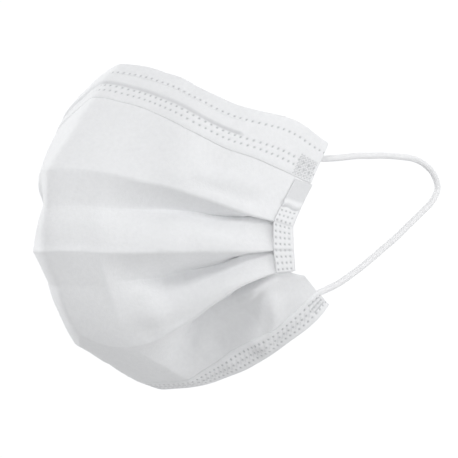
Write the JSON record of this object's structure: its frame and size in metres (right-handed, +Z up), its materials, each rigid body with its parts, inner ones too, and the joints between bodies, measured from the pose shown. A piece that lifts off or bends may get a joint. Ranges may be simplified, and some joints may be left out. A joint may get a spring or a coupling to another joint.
{
  "type": "surgical face mask",
  "caption": "Pleated disposable face mask opened in worn form, with a hem-held nose wire, welded side bands and round elastic ear loops.",
  "frame": {"origin": "middle of the top edge, where the mask sits on the bridge of the nose", "axes": "+X to the wearer's left, -Y to the front, away from the face, +Z up"},
  "size_m": [0.1244, 0.1439, 0.1221],
  "materials": {
    "cloth": "matt spunbond nonwoven",
    "hem_cloth": "matt spunbond nonwoven, spot welded",
    "wire": "dull strip",
    "elastic": "soft knitted elastic"
  },
  "bodies": {
    "root": {"face_panel": "cloth", "top_hem": "hem_cloth", "nose_wire": "wire", "bottom_hem": "hem_cloth", "side_binding_left": "hem_cloth", "side_binding_right": "hem_cloth", "ear_loop_left": "elastic", "ear_loop_right": "elastic", "loop_weld_top_left": "elastic", "loop_weld_top_right": "elastic", "loop_weld_bottom_left": "elastic", "loop_weld_bottom_right": "elastic"}
  },
  "joints": []
}
